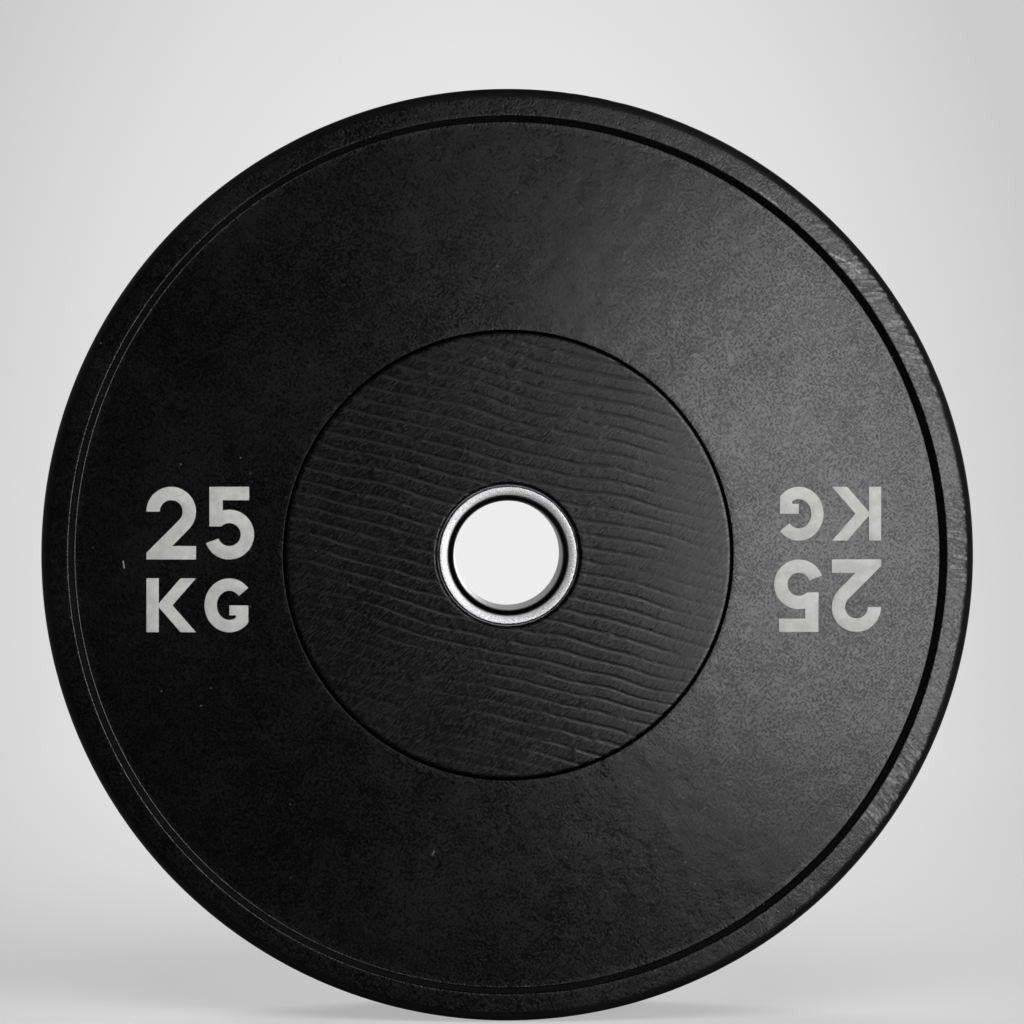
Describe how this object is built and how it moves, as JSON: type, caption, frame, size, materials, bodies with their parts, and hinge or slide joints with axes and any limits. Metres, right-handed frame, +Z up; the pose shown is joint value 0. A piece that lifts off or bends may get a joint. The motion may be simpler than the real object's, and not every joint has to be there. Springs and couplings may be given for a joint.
{
  "type": "bumper plate",
  "caption": "Round rubber bumper plate with a raised rim, a dished web and a flat hub round a steel-lined bore for a barbell sleeve.",
  "frame": {"origin": "middle of the bore, halfway through the plate", "axes": "+Y along the bore's axis towards the rear face, +Z up with the plate standing on its rim, front face towards -Y"},
  "size_m": [0.45, 0.07, 0.45],
  "materials": {
    "tyre": "moulded black rubber with a fine leathery grain, satin",
    "hub_cover": "black sheet rubber with faint ripples, satin",
    "bore_steel": "turned stainless steel, worn at the lip",
    "core_steel": "plain turned steel",
    "fastener_steel": "plated steel",
    "figure_paint": "light grey matt paint on the raised figures"
  },
  "bodies": {
    "root": {"rubber_tyre": "tyre", "front_hub_cover": "hub_cover", "rear_hub_cover": "hub_cover", "bore_sleeve": "bore_steel", "front_collar": "bore_steel", "rear_collar": "bore_steel", "front_core_disc": "core_steel", "rear_core_disc": "core_steel", "clamp_screw_1": "fastener_steel", "clamp_screw_2": "fastener_steel", "clamp_screw_3": "fastener_steel", "clamp_screw_4": "fastener_steel", "clamp_screw_5": "fastener_steel", "clamp_screw_6": "fastener_steel", "lock_washer_1": "fastener_steel", "lock_washer_2": "fastener_steel", "lock_washer_3": "fastener_steel", "lock_washer_4": "fastener_steel", "lock_washer_5": "fastener_steel", "lock_washer_6": "fastener_steel", "clamp_nut_1": "fastener_steel", "clamp_nut_2": "fastener_steel", "clamp_nut_3": "fastener_steel", "clamp_nut_4": "fastener_steel", "clamp_nut_5": "fastener_steel", "clamp_nut_6": "fastener_steel"}
  },
  "joints": []
}
